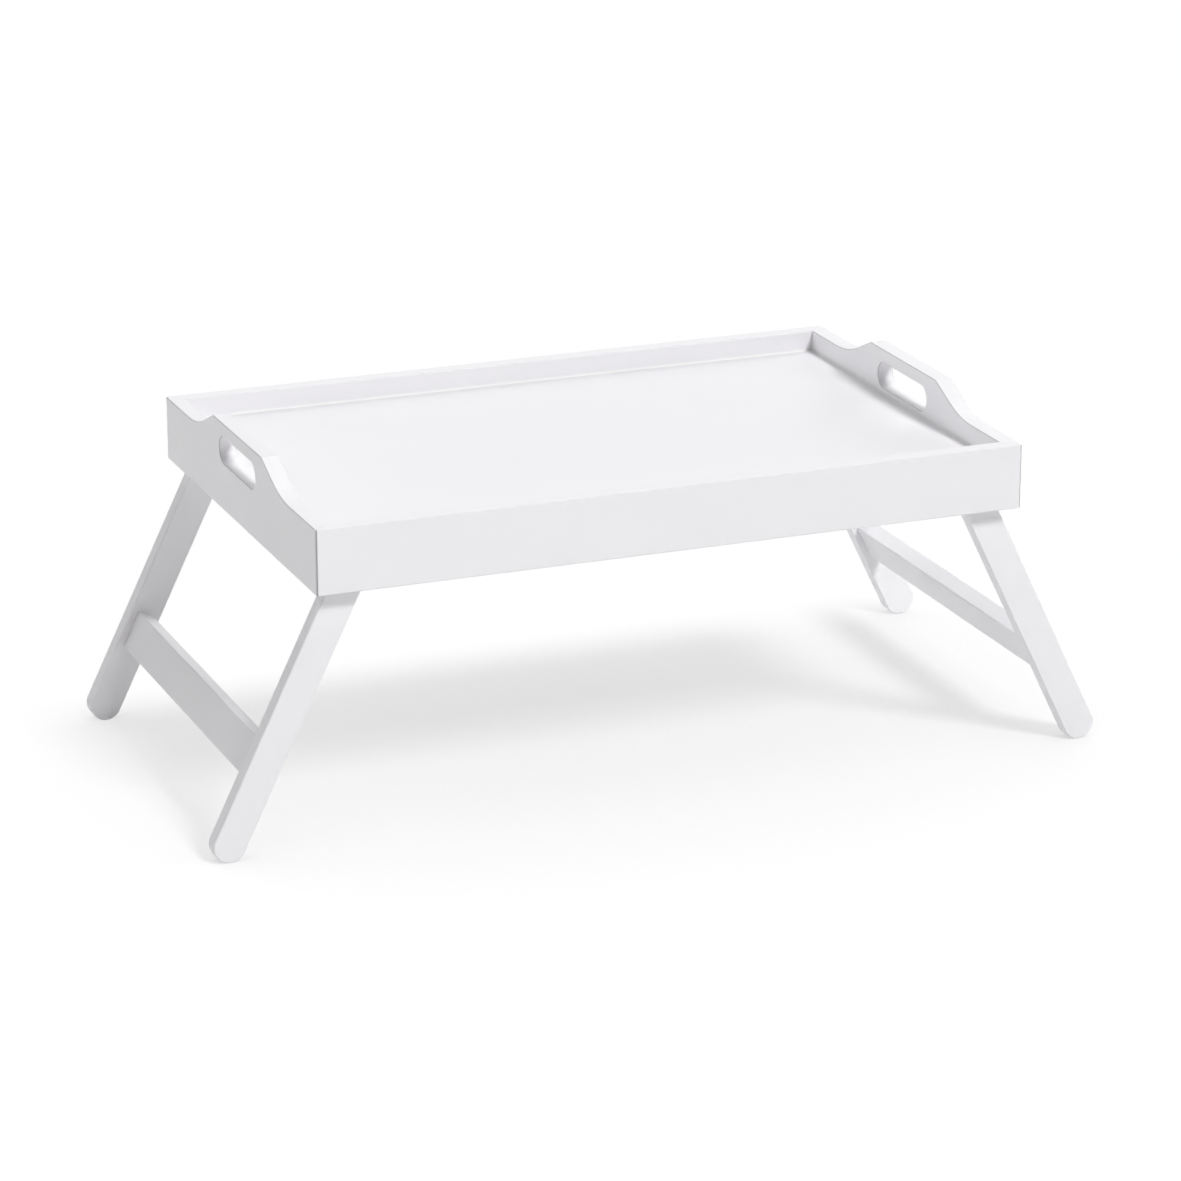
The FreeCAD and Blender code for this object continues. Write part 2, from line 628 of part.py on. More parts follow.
def check_and_write():
    """Stop at any failed object or bad solid, then write each sub-part to its own file."""
    doc.recompute()
    for item in doc.Objects:
        if "Invalid" in item.State or "Error" in item.State:
            raise RuntimeError(f"{item.Name} failed: {item.State}")
    for piece in nodes:
        if piece.Shape.isNull() or not piece.Shape.isValid():
            raise RuntimeError(f"{piece.Label} has no valid shape")
    os.makedirs("parts", exist_ok=True)
    for piece in nodes:
        piece.Shape.exportStep(f"parts/{piece.Label}.step")
        print(f"{piece.Label}: {len(piece.Shape.Solids)} solid, {piece.Shape.Volume:.0f} mm3")


fill_sheet()
make_tray()
make_leg_frame("left", "-", 1)
make_leg_frame("right", "", -1)
check_and_write()
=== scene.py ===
# %% [markdown]
# # A bed tray table in white satin lacquer
# The real object is a shallow box of 12 mm board with a thin floor let in below its rim. Two leg
# frames turn on screws under its ends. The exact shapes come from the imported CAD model, which
# already has its bevelled edges, so this lesson is about what CAD leaves out: the paint, the fine
# lines where boards meet, the bead of lacquer round the floor, real screws, and the studio light.

# %% Load the exact shapes
import math
import bmesh
import bpy
from mathutils import Matrix, Vector, noise


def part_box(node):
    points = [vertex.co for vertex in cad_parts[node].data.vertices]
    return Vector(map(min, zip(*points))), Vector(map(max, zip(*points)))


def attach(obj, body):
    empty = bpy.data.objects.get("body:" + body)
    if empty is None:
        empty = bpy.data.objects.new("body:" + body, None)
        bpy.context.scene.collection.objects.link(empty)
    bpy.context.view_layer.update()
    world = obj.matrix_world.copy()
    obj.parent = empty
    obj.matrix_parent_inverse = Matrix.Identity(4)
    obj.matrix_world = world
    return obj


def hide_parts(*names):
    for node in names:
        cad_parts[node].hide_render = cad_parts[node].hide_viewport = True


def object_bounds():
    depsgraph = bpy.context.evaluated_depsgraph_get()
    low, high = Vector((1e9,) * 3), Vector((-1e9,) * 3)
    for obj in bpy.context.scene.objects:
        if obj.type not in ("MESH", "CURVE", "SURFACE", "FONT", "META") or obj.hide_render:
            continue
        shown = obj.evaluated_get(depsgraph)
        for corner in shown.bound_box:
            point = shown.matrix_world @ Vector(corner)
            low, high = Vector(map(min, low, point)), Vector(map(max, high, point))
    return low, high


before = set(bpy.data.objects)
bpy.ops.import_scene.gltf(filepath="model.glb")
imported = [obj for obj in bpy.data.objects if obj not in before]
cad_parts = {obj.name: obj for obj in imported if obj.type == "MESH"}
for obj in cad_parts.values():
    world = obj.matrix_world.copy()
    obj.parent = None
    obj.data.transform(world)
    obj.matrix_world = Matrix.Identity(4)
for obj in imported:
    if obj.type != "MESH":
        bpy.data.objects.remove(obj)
cad_low, cad_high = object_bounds()
span = (cad_high - cad_low) * 1000
print(f"{len(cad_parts)} pieces, {span.x:.0f} x {span.y:.0f} x {span.z:.0f} mm")

# %% [markdown]
# ## Places that the other cells need
# Nothing is measured by hand here. The boards, the floor and the washers say where they are, so
# every added piece sits where the CAD model has room for it.

# %% Read the main places
MM = 0.001
CORNERS = ("left_front", "left_rear", "right_front", "right_rear")
board_low, board_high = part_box("front_long_panel")
HALF_LENGTH = board_high.x
HALF_WIDTH = -board_low.y
INSIDE_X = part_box("right_end_panel")[0].x
INSIDE_Y = -board_high.y
FLOOR_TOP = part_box("tray_floor")[1].z
washer_low, washer_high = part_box("spacer_washer_right_rear")
PIVOT_X = (washer_low.x + washer_high.x) / 2
PIVOT_Z = (washer_low.z + washer_high.z) / 2
print(f"inside {2000 * INSIDE_X:.0f} x {2000 * INSIDE_Y:.0f} mm, floor at {1000 * FLOOR_TOP:.1f} mm")
print(f"pivots at x {1000 * PIVOT_X:.1f}, z {1000 * PIVOT_Z:.1f} mm")

# %% [markdown]
# ## The camera
# A long lens from a little above shows the tray almost without perspective, as a catalogue does.
# A short lens from close by would make the near corner loom. So the camera stands over three
# metres away with a 138.5 mm lens on a 36 mm sensor, looks down by 18.7 degrees, and stands
# 21.9 degrees round to the left of the front.

# %% Set up the camera
CAMERA_PLACE = Vector((-1.1067, -2.7619, 1.1076))
CAMERA_LOOK = Vector((0.35308, 0.87892, -0.32068))
camera_data = bpy.data.cameras.new("studio_camera")
camera_data.sensor_width = 36
camera_data.lens = 138.5
camera = bpy.data.objects.new("studio_camera", camera_data)
camera.location = CAMERA_PLACE
camera.rotation_euler = CAMERA_LOOK.to_track_quat("-Z", "Y").to_euler()
bpy.context.collection.objects.link(camera)
bpy.context.scene.camera = camera
print(f"camera {CAMERA_PLACE.length:.2f} m from the middle of the ground")

# %% [markdown]
# ## Helpers for the finishes
# A finish is a small graph of nodes. One function turns a colour as it is seen on a screen into
# the linear value that the renderer counts with. One function adds a node of any kind, sets it up
# and links it, so that each finish below reads like a recipe. A pattern's scale is the number of
# its waves in a metre, so it is worked out from a size in millimetres.

# %% Colour, node and scale helpers
def linear(hex_colour):
    """Turn an sRGB hex colour into linear red, green, blue and alpha."""
    parts = [int(hex_colour[i:i + 2], 16) / 255 for i in (1, 3, 5)]
    return [p / 12.92 if p <= 0.04045 else ((p + 0.055) / 1.055) ** 2.4 for p in parts] + [1]


def add(tree, kind, sockets=None, **settings):
    """Add a node, set its settings, and fill its sockets with values or links."""
    made = tree.nodes.new(kind)
    for name, value in settings.items():
        setattr(made, name, value)
    for socket, value in (sockets or {}).items():
        if isinstance(value, bpy.types.NodeSocket):
            tree.links.new(value, made.inputs[socket])
        else:
            made.inputs[socket].default_value = value
    return made


def waves(millimetres):
    """Give the texture scale at which one wave of a pattern has this size."""
    return 1000 / millimetres


def new_finish(name):
    """Start a material and give back it, its tree, its shader and the object's coordinates."""
    finish = bpy.data.materials.new(name)
    finish.use_nodes = True
    tree = finish.node_tree
    tree.nodes.clear()
    shader = add(tree, "ShaderNodeBsdfPrincipled")
    add(tree, "ShaderNodeOutputMaterial", {"Surface": shader.outputs["BSDF"]})
    place = add(tree, "ShaderNodeTexCoord").outputs["Object"]
    return finish, tree, shader, place


print("the white #F1F0F2 is", [round(part, 3) for part in linear("#F1F0F2")[:3]])

# %% [markdown]
# ## White satin lacquer on MDF
# The boards are medium-density fibreboard sprayed with pigmented lacquer. A spray coat is never
# quite flat: it dries in low waves about 2 mm across, called orange peel, which break up a
# reflection. The cut edges of the board drink more lacquer than its pressed faces, so they dry
# duller and a little pimpled. Both are made from noise in the object's own coordinates, so they
# stay on a leg when it folds. Painted images could do this too, but noise needs no unwrapping and
# has no seams.
#
# Where two boards meet, the mitre shows as a fine dark line down the corner of the tray, because
# the paint sinks into the joint. Sanding closes it on top and inside, where only a trace is left.
# A fine grey line is also painted along the swept profile and the hand slot of each end board,
# on the bevels between its faces: it is painted shade, a dark line drawn where the edge turns.
# A point lies on the mitre when it is as far in from the end of
# the tray as from the side, so two subtractions draw it.

# %% Make the lacquer
ORANGE_PEEL = 2.2  # mm across
PEEL_HEIGHT = 0.012  # mm
CUT_PIMPLES = 1.1  # mm across; real ones are half this, drawn coarser so that they show
CLOUDS = 60  # mm, slow changes in how thick the coat is
MITRE_LINE = 1.0  # mm each side; the real joint is finer, drawn wider so that it shows
MITRE_ON_TOP = 0.1  # how much of the line is left on the sanded top and inside
MITRE_GREY = "#918D8E"
OUTER_SKIN = (0.004, 0.002)  # m in from the side, from a faint mitre to a full one
UPWARDS = (0.3, 0.9)  # how far a face looks up, from a full mitre to a sanded one
BEVEL_SHADE_SHARE = 0.6  # how much painted shade darkens the bevels on the sharp edges of the end boards
BEVEL_SHADE_GREY = "#A9A5A6"
HALF_WAY = 0.707  # how far a bevel at 45 degrees looks along the pressed face's own direction
HALF_WAY_SPREAD = 0.15
PRESSED, CUT = 0.97, 0.4  # the same, where a face counts as pressed or as cut
CUT_DULLNESS = 0.10  # roughness that the cut edges have on top
CLOUD_DULLNESS = 0.08


def find_cut_edges(tree, broad):
    """Give 1 on the cut edges of a board and 0 on its pressed faces, which look along broad."""
    normal = add(tree, "ShaderNodeNewGeometry").outputs["Normal"]
    parts = add(tree, "ShaderNodeSeparateXYZ", {0: normal})
    facing = add(tree, "ShaderNodeMath", {0: parts.outputs[broad]}, operation="ABSOLUTE")
    return add(tree, "ShaderNodeMapRange", {
        "Value": facing.outputs[0],
        "From Min": PRESSED, "From Max": CUT, "To Min": 0, "To Max": 1,
    }, interpolation_type="SMOOTHSTEP").outputs[0]


def find_mitres(tree, place):
    """Give 1 on the mitre planes at the tray's four corners and 0 away from them."""
    folded = add(tree, "ShaderNodeVectorMath", {0: place}, operation="ABSOLUTE")
    parts = add(tree, "ShaderNodeSeparateXYZ", {0: folded.outputs[0]})
    skew = add(tree, "ShaderNodeMath", {0: parts.outputs[0], 1: parts.outputs[1]},
               operation="SUBTRACT")
    off = add(tree, "ShaderNodeMath", {0: skew.outputs[0], 1: HALF_LENGTH - HALF_WIDTH},
              operation="SUBTRACT")
    away = add(tree, "ShaderNodeMath", {0: off.outputs[0]}, operation="ABSOLUTE")
    line = add(tree, "ShaderNodeMapRange", {
        "Value": away.outputs[0],
        "From Min": 0, "From Max": MITRE_LINE * MM, "To Min": 1, "To Max": 0,
    }, interpolation_type="SMOOTHSTEP")
    normal = add(tree, "ShaderNodeNewGeometry").outputs["Normal"]
    upwards = add(tree, "ShaderNodeSeparateXYZ", {0: normal}).outputs[2]
    sanded = add(tree, "ShaderNodeMapRange", {
        "Value": upwards,
        "From Min": UPWARDS[0], "From Max": UPWARDS[1], "To Min": 1, "To Max": MITRE_ON_TOP,
    })
    outside = add(tree, "ShaderNodeMapRange", {
        "Value": parts.outputs[1],
        "From Min": HALF_WIDTH - OUTER_SKIN[0], "From Max": HALF_WIDTH - OUTER_SKIN[1],
        "To Min": MITRE_ON_TOP, "To Max": 1,
    })
    left_over = add(tree, "ShaderNodeMath", {0: sanded.outputs[0], 1: outside.outputs[0]},
                    operation="MINIMUM")
    return add(tree, "ShaderNodeMath", {0: line.outputs[0], 1: left_over.outputs[0]},
               operation="MULTIPLY").outputs[0]


def find_sharp_edges(tree, broad):
    """Give 1 on the bevels round a pressed face, which look half-way towards the cut edge."""
    normal = add(tree, "ShaderNodeNewGeometry").outputs["True Normal"]
    parts = add(tree, "ShaderNodeSeparateXYZ", {0: normal})
    facing = add(tree, "ShaderNodeMath", {0: parts.outputs[broad]}, operation="ABSOLUTE")
    return add(tree, "ShaderNodeMath", {
        0: facing.outputs[0], 1: HALF_WAY, 2: HALF_WAY_SPREAD,
    }, operation="COMPARE").outputs[0]


def make_lacquer(name, broad, mitred=False, shaded_bevels=False, white="#F1F0F2",
                 cloud_white="#EEEDF0", shine=0.33):
    """Make sprayed white lacquer for a board whose pressed faces look along X, Y or Z."""
    finish, tree, shader, place = new_finish(name)
    cloud = add(tree, "ShaderNodeTexNoise", {"Vector": place, "Scale": waves(CLOUDS), "Detail": 3})
    edge = find_cut_edges(tree, broad)

    # colour: slow clouds between two whites, the line of the mitre in warm grey, and painted shade
    # in grey on the bevels of the end boards
    # (on a colour mix, sockets 0, 6 and 7 are the factor and the two colours, output 2 the result)
    colour = add(tree, "ShaderNodeMix", {
        0: cloud.outputs[0], 6: linear(white), 7: linear(cloud_white),
    }, data_type="RGBA").outputs[2]
    if mitred:
        colour = add(tree, "ShaderNodeMix", {
            0: find_mitres(tree, place), 6: colour, 7: linear(MITRE_GREY),
        }, data_type="RGBA").outputs[2]
    # painted shade: the bevels of the end boards are drawn darker, a grey line along each sharp edge
    if shaded_bevels:
        bevel_shading = add(tree, "ShaderNodeMath", {0: find_sharp_edges(tree, broad), 1: BEVEL_SHADE_SHARE},
                   operation="MULTIPLY")
        colour = add(tree, "ShaderNodeMix", {
            0: bevel_shading.outputs[0], 6: colour, 7: linear(BEVEL_SHADE_GREY),
        }, data_type="RGBA").outputs[2]
    tree.links.new(colour, shader.inputs["Base Color"])

    # roughness: satin on the faces, duller on the cut edges, and a little cloudy everywhere
    dull = add(tree, "ShaderNodeMath", {0: edge, 1: CUT_DULLNESS, 2: shine},
               operation="MULTIPLY_ADD")
    dull = add(tree, "ShaderNodeMath", {
        0: cloud.outputs[0], 1: CLOUD_DULLNESS, 2: dull.outputs[0],
    }, operation="MULTIPLY_ADD")
    tree.links.new(dull.outputs[0], shader.inputs["Roughness"])

    # bumps: orange peel over everything, and pimples on top of it on the cut edges
    peel = add(tree, "ShaderNodeTexNoise", {
        "Vector": place, "Scale": waves(ORANGE_PEEL), "Detail": 1,
    })
    pimples = add(tree, "ShaderNodeTexNoise", {
        "Vector": place, "Scale": waves(CUT_PIMPLES), "Detail": 2,
    })
    raised = add(tree, "ShaderNodeMath", {0: pimples.outputs[0], 1: edge}, operation="MULTIPLY")
    height = add(tree, "ShaderNodeMath", {0: raised.outputs[0], 1: peel.outputs[0]})
    bump = add(tree, "ShaderNodeBump", {
        "Height": height.outputs[0], "Distance": PEEL_HEIGHT * MM,
    })
    tree.links.new(bump.outputs[0], shader.inputs["Normal"])
    shader.inputs["IOR"].default_value = 1.5
    return finish


X_FACED, Y_FACED, Z_FACED = 0, 1, 2
end_board_lacquer = make_lacquer("satin_lacquer_on_end_boards", X_FACED, mitred=True,
                                 shaded_bevels=True)
long_board_lacquer = make_lacquer("satin_lacquer_on_long_boards", Y_FACED, mitred=True)
floor_lacquer = make_lacquer("satin_lacquer_on_floor", Z_FACED)
leg_lacquer = make_lacquer("satin_lacquer_on_legs", Y_FACED)
rail_lacquer = make_lacquer("satin_lacquer_on_stretchers", X_FACED)
print("five lacquers: end boards, long boards, floor, legs and stretchers")

# %% [markdown]
# ## Bright zinc on steel
# The pivot screws and the washers under their heads are turned or stamped from mild steel and
# plated with zinc. Zinc is a metal, so it has no colour of its own apart from its reflection,
# and a faint blue from its passivation. Turning leaves fine rings round the axis. The four
# pivots are mirror images of one another, so one distance, worked out from absolute
# coordinates, draws the rings on all of them.

# %% Make the zinc
TURNING = 0.3  # mm between rings; real ones are a third of this, drawn coarser so that they show
RING_HEIGHT = 0.002  # mm
SPANGLE = 3  # mm, patches in the plate


def make_zinc(name):
    """Make bright zinc plate with turning rings round the pivots."""
    finish, tree, shader, place = new_finish(name)
    folded = add(tree, "ShaderNodeVectorMath", {0: place}, operation="ABSOLUTE")
    offset = add(tree, "ShaderNodeVectorMath", {
        0: folded.outputs[0], 1: (PIVOT_X, 0, PIVOT_Z),
    }, operation="SUBTRACT")
    flat = add(tree, "ShaderNodeVectorMath", {0: offset.outputs[0], 1: (1, 0, 1)},
               operation="MULTIPLY")
    radius = add(tree, "ShaderNodeVectorMath", {0: flat.outputs[0]}, operation="LENGTH")
    turns = add(tree, "ShaderNodeMath", {
        0: radius.outputs["Value"], 1: math.tau / (TURNING * MM),
    }, operation="MULTIPLY")
    rings = add(tree, "ShaderNodeMath", {0: turns.outputs[0]}, operation="SINE")
    cloud = add(tree, "ShaderNodeTexNoise", {"Vector": place, "Scale": waves(SPANGLE), "Detail": 4})

    colour = add(tree, "ShaderNodeMix", {
        0: cloud.outputs[0], 6: linear("#C9CED4"), 7: linear("#BFC3C4"),
    }, data_type="RGBA").outputs[2]
    tree.links.new(colour, shader.inputs["Base Color"])
    dull = add(tree, "ShaderNodeMath", {0: cloud.outputs[0], 1: 0.2, 2: 0.18},
               operation="MULTIPLY_ADD")
    tree.links.new(dull.outputs[0], shader.inputs["Roughness"])
    bump = add(tree, "ShaderNodeBump", {"Height": rings.outputs[0], "Distance": RING_HEIGHT * MM})
    tree.links.new(bump.outputs[0], shader.inputs["Normal"])
    shader.inputs["Metallic"].default_value = 1
    return finish


zinc = make_zinc("bright_zinc_plate")
print(f"rings {TURNING} mm apart round each pivot")

# %% [markdown]
# ## Natural nylon
# The spacers between leg and board are moulded nylon, a milky plastic that light enters a little
# way. Moulding leaves a fine even matt skin from the spark-eroded tool. Some subsurface
# scattering gives the milkiness, and small noise gives the skin.

# %% Make the nylon
SKIN = 0.5  # mm across
SKIN_HEIGHT = 0.008  # mm
MILKINESS = 0.8  # mm that light goes in


def make_nylon(name):
    """Make moulded natural nylon with a spark-eroded skin."""
    finish, tree, shader, place = new_finish(name)
    skin = add(tree, "ShaderNodeTexNoise", {"Vector": place, "Scale": waves(SKIN), "Detail": 2})
    cloud = add(tree, "ShaderNodeTexNoise", {"Vector": place, "Scale": waves(6), "Detail": 2})
    colour = add(tree, "ShaderNodeMix", {
        0: cloud.outputs[0], 6: linear("#E9E6DE"), 7: linear("#E1DDD2"),
    }, data_type="RGBA").outputs[2]
    tree.links.new(colour, shader.inputs["Base Color"])
    dull = add(tree, "ShaderNodeMath", {0: skin.outputs[0], 1: 0.12, 2: 0.42},
               operation="MULTIPLY_ADD")
    tree.links.new(dull.outputs[0], shader.inputs["Roughness"])
    bump = add(tree, "ShaderNodeBump", {"Height": skin.outputs[0], "Distance": SKIN_HEIGHT * MM})
    tree.links.new(bump.outputs[0], shader.inputs["Normal"])
    shader.inputs["IOR"].default_value = 1.53
    shader.inputs["Subsurface Weight"].default_value = 0.25
    shader.inputs["Subsurface Radius"].default_value = (1.0, 0.9, 0.8)
    shader.inputs["Subsurface Scale"].default_value = MILKINESS * MM
    return finish


nylon = make_nylon("moulded_natural_nylon")
print("nylon for the four spacers")

# %% [markdown]
# ## Bare beech
# Dowels and loose tongues are planed beech, glued and left bare. Beech is pale pinkish brown and
# nearly even, with short dark flecks along the grain. Noise that is stretched along one axis gives
# the fibres, and cells stretched the same way give the flecks.

# %% Make the beech
FLECK_WIDTH = 0.35  # mm
FLECK_LENGTH = 3.5  # mm
FIBRE = 1.2  # mm across
FIBRE_HEIGHT = 0.03  # mm


def make_beech(name, along):
    """Make planed beech whose grain runs along X, Y or Z."""
    finish, tree, shader, place = new_finish(name)
    stretch = [1.0, 1.0, 1.0]
    stretch[along] = FLECK_WIDTH / FLECK_LENGTH
    drawn = add(tree, "ShaderNodeVectorMath", {0: place, 1: stretch}, operation="MULTIPLY")
    fibre = add(tree, "ShaderNodeTexNoise", {
        "Vector": drawn.outputs[0], "Scale": waves(FIBRE), "Detail": 5,
    })
    cells = add(tree, "ShaderNodeTexVoronoi", {
        "Vector": drawn.outputs[0], "Scale": waves(FLECK_WIDTH * 2),
    })
    flecks = add(tree, "ShaderNodeMapRange", {
        "Value": cells.outputs["Distance"],
        "From Min": 0.08, "From Max": 0.22, "To Min": 1, "To Max": 0,
    })
    wood = add(tree, "ShaderNodeMix", {
        0: fibre.outputs[0], 6: linear("#D9B48A"), 7: linear("#C59A6C"),
    }, data_type="RGBA").outputs[2]
    colour = add(tree, "ShaderNodeMix", {
        0: flecks.outputs[0], 6: wood, 7: linear("#9A6B42"),
    }, data_type="RGBA").outputs[2]
    tree.links.new(colour, shader.inputs["Base Color"])
    dull = add(tree, "ShaderNodeMath", {0: fibre.outputs[0], 1: 0.2, 2: 0.5},
               operation="MULTIPLY_ADD")
    tree.links.new(dull.outputs[0], shader.inputs["Roughness"])
    bump = add(tree, "ShaderNodeBump", {"Height": fibre.outputs[0], "Distance": FIBRE_HEIGHT * MM})
    tree.links.new(bump.outputs[0], shader.inputs["Normal"])
    return finish


dowel_beech = make_beech("planed_beech_dowels", 1)
tongue_beech = make_beech("planed_beech_tongues", 2)
print(f"flecks {FLECK_LENGTH} x {FLECK_WIDTH} mm")

# %% [markdown]
# ## Giving the exact pieces their finish
# The CAD pieces keep their shapes. Each gets the finish of the material that it is made of, by
# name, so that a new piece with the same kind of name would get the right one too.

# %% Hand out the finishes
FINISHES = {
    "long_panel": long_board_lacquer,
    "end_panel": end_board_lacquer,
    "tray_floor": floor_lacquer,
    "_leg": leg_lacquer,
    "stretcher": rail_lacquer,
    "head_washer": zinc,
    "pivot_screw": zinc,
    "spacer_washer": nylon,
    "dowels": dowel_beech,
    "corner_spline": tongue_beech,
}
for node_name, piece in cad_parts.items():
    finish = next(value for part, value in FINISHES.items() if part in node_name)
    for slot in piece.material_slots:
        slot.material = finish
print(f"{len(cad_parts)} pieces finished in {len(set(FINISHES.values()))} materials")

# %% [markdown]
# ## The bead round the floor
# Lacquer gathers in the inside corner between floor and wall and dries as a small hollow bead,
# which catches the light as a thin bright line all the way round. It could be a bump in the
# paint, but a bump can't round an inside corner, so it is a real strip: a hollow quarter-round
# section swept round the inside of the tray, mitred at the corners, and made a little uneven.

# %% Sweep the bead
BEAD = 1.2 * MM
SUNK = 0.2 * MM  # how far the back of the bead lies inside the boards
STEP = 12 * MM
ARC_POINTS = 6
UNEVEN = 0.12  # share of its size by which the bead swells and shrinks
SWELLS = 40  # in a metre


def to_object(mesh, name):
    """Turn an edited mesh into an object in the scene."""
    data = bpy.data.meshes.new(name)
    mesh.to_mesh(data)
    mesh.free()
    made = bpy.data.objects.new(name, data)
    bpy.context.collection.objects.link(made)
    return made


def bead_section(reach):
    """Give the section as (out from the wall, up from the floor), its back first."""
    hollow = [
        (reach - reach * math.cos(turn), reach - reach * math.sin(turn))
        for turn in (math.pi / 2 * i / ARC_POINTS for i in range(ARC_POINTS + 1))
    ]
    return [(-SUNK, -SUNK), (-SUNK, reach), *hollow, (reach, -SUNK)]


def make_bead():
    """Sweep the section round the inside of the tray."""
    mesh = bmesh.new()
    corners = [(-1, -1), (1, -1), (1, 1), (-1, 1)]
    rings = []
    for here, there in zip(corners, corners[1:] + corners[:1]):
        start = Vector((here[0] * INSIDE_X, here[1] * INSIDE_Y, 0))
        end = Vector((there[0] * INSIDE_X, there[1] * INSIDE_Y, 0))
        count = round((end - start).length / STEP)
        for i in range(count):
            spot = start.lerp(end, i / count)
            # along a wall the section grows straight in; in a corner it grows along the mitre
            inward = Vector((-here[0], -here[1], 0)) if i == 0 else Vector((
                0 if here[0] != there[0] else -here[0],
                0 if here[1] != there[1] else -here[1], 0))
            reach = BEAD * (1 + UNEVEN * noise.noise(spot * SWELLS))
            rings.append([
                mesh.verts.new(spot + inward * out + Vector((0, 0, FLOOR_TOP + up)))
                for out, up in bead_section(reach)
            ])
    for ring, following in zip(rings, rings[1:] + rings[:1]):
        for i, vert in enumerate(ring):
            mesh.faces.new((vert, ring[i - 1], following[i - 1], following[i]))
    bmesh.ops.recalc_face_normals(mesh, faces=mesh.faces)
    bead = to_object(mesh, "lacquer_bead")
    bead.data.shade_smooth()
    return bead, len(rings)


bead, ring_count = make_bead()
bead.data.materials.append(
    make_lacquer("lacquer_gathered_in_corner", Z_FACED, white="#F4F4F3", cloud_white="#F2F2F1")
)
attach(bead, "tray")
print(f"bead of {BEAD / MM} mm in {ring_count} sections")

# %% [markdown]
# ## The pivot screws
# Each leg turns on a shouldered screw that is driven from inside the tray, so only its pan head
# shows from below. The CAD model keeps it plain. Here one screw is made in full and copied: a
# profile is turned round the axis, the ridge of the thread climbs one pitch in each turn, and two
# crossed tapering blades cut the cross recess with boolean modifiers, as the punch does in the
# real head. A painted cross would look flat from close by.

# %% Turn the screw
SHANK = 2.5 * MM
ROOT = 1.9 * MM  # radius at the bottom of the thread
PITCH = 1.8 * MM
SEGMENTS = 48
THREAD_STEPS = 40
TIP_TAPER = 2 * MM
HEAD_ROUND = 0.15 * MM  # rounding of the pan head's lower edge
HEAD_SIDE = 1.3 * MM
DOME_STEPS = 8
CROWN = 0.35  # share of the head's radius that is left flat on top
screw_low, screw_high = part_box("pivot_screw_left_front")
head_washer_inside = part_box("head_washer_left_front")[1].y
HEAD = (screw_high.x - screw_low.x) / 2
THREAD_START = screw_low.y + INSIDE_Y  # measured from the inside face of the long board
HEAD_START = head_washer_inside + INSIDE_Y
HEAD_TOP = screw_high.y + INSIDE_Y


def thread_radius(along, turn):
    """Give the screw's radius in its thread: a V-shaped ridge that climbs as it turns."""
    phase = (along / PITCH - turn / math.tau) % 1
    ridge = 1 - min(1, abs(phase - 0.5) * 3)
    taper = min(1, (along - THREAD_START) / TIP_TAPER)
    return (ROOT + (SHANK - ROOT) * ridge) * (0.5 + 0.5 * taper)


def screw_rings():
    """List the rings of the screw as (height, radius or None for the thread)."""
    rings = [(THREAD_START * (1 - i / THREAD_STEPS), None) for i in range(THREAD_STEPS)]
    rings += [(0, SHANK), (HEAD_START, SHANK), (HEAD_START, HEAD - HEAD_ROUND)]
    side_top = HEAD_START + HEAD_SIDE
    rings += [(HEAD_START + HEAD_ROUND, HEAD), (side_top, HEAD)]
    for i in range(1, DOME_STEPS + 1):  # the domed top of the pan head
        turn = math.pi / 2 * i / DOME_STEPS
        rings.append((side_top + (HEAD_TOP - side_top) * math.sin(turn),
                      HEAD * (CROWN + (1 - CROWN) * math.cos(turn))))
    return rings


def turn_screw():
    """Turn the screw about Z, its thread downwards from zero and its head upwards."""
    mesh = bmesh.new()
    rings = []
    for height, radius in screw_rings():
        ring = []
        for i in range(SEGMENTS):
            turn = math.tau * i / SEGMENTS
            reach = thread_radius(height, turn) if radius is None else radius
            ring.append(mesh.verts.new((reach * math.cos(turn), reach * math.sin(turn), height)))
        rings.append(ring)
    for ring, following in zip(rings, rings[1:]):
        for i, vert in enumerate(ring):
            mesh.faces.new((ring[i - 1], vert, following[i], following[i - 1]))
    mesh.faces.new(reversed(rings[0]))
    mesh.faces.new(rings[-1])
    return to_object(mesh, "turned_screw")


turned = turn_screw()
print(f"screw {(HEAD_TOP - THREAD_START) / MM:.1f} mm long, {len(turned.data.vertices)} points")

# %% [markdown]
# The recess is a cross because two blades at right angles meet in it. They taper, so that the
# driver wedges home. The edges sharper than 35 degrees stay crisp in the shading and the rest run
# smoothly into each other.

# %% Punch the cross recess
RECESS_DEPTH = 1.9 * MM
OVERSHOOT = 0.2 * MM  # how far the punch stands out of the head
BLADE_LOW = (1.1 * MM, 0.42 * MM)  # half the length and half the width at the bottom
BLADE_TOP = (2.55 * MM, 0.62 * MM)
CRISP = math.radians(35)


def make_blade(turn):
    """Make one tapering blade of the punch."""
    mesh = bmesh.new()
    top, low = HEAD_TOP + OVERSHOOT, HEAD_TOP - RECESS_DEPTH
    corners = []
    for height, length, width in ((low, *BLADE_LOW), (top, *BLADE_TOP)):
        for x, y in ((-1, -1), (1, -1), (1, 1), (-1, 1)):
            corners.append(mesh.verts.new((x * length, y * width, height)))
    mesh.faces.new(reversed(corners[:4]))
    mesh.faces.new(corners[4:])
    for i in range(4):
        j = (i + 1) % 4
        mesh.faces.new((corners[i], corners[j], corners[j + 4], corners[i + 4]))
    bmesh.ops.rotate(mesh, verts=mesh.verts, matrix=Matrix.Rotation(turn, 3, "Z"))
    return to_object(mesh, "blade")


